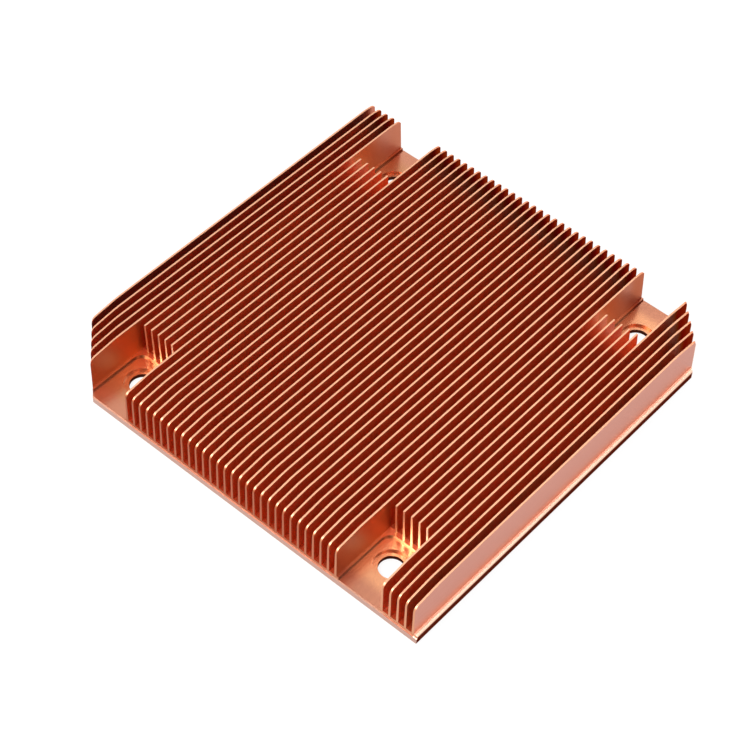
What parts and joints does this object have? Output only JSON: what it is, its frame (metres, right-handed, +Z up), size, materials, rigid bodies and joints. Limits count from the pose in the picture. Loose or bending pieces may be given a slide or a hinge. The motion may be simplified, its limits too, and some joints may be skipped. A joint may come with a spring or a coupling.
{
  "type": "skived fin heat sink",
  "caption": "Flat copper heat sink with closely spaced shaved fins, rounded fin ends, two cut corners and milled screw pockets, screwed down over a processor.",
  "frame": {"origin": "middle of the base's flat underside, which is the face that rests on the chip", "axes": "+Z up through the fins from the underside, Y along the fins, X across them; the fins lean slightly towards -X, and the cut corners are at -X -Y and +X +Y"},
  "size_m": [0.0895, 0.0908, 0.0095],
  "materials": {
    "copper": "bare satin copper"
  },
  "bodies": {
    "root": {"heat_sink": "copper"}
  },
  "joints": []
}
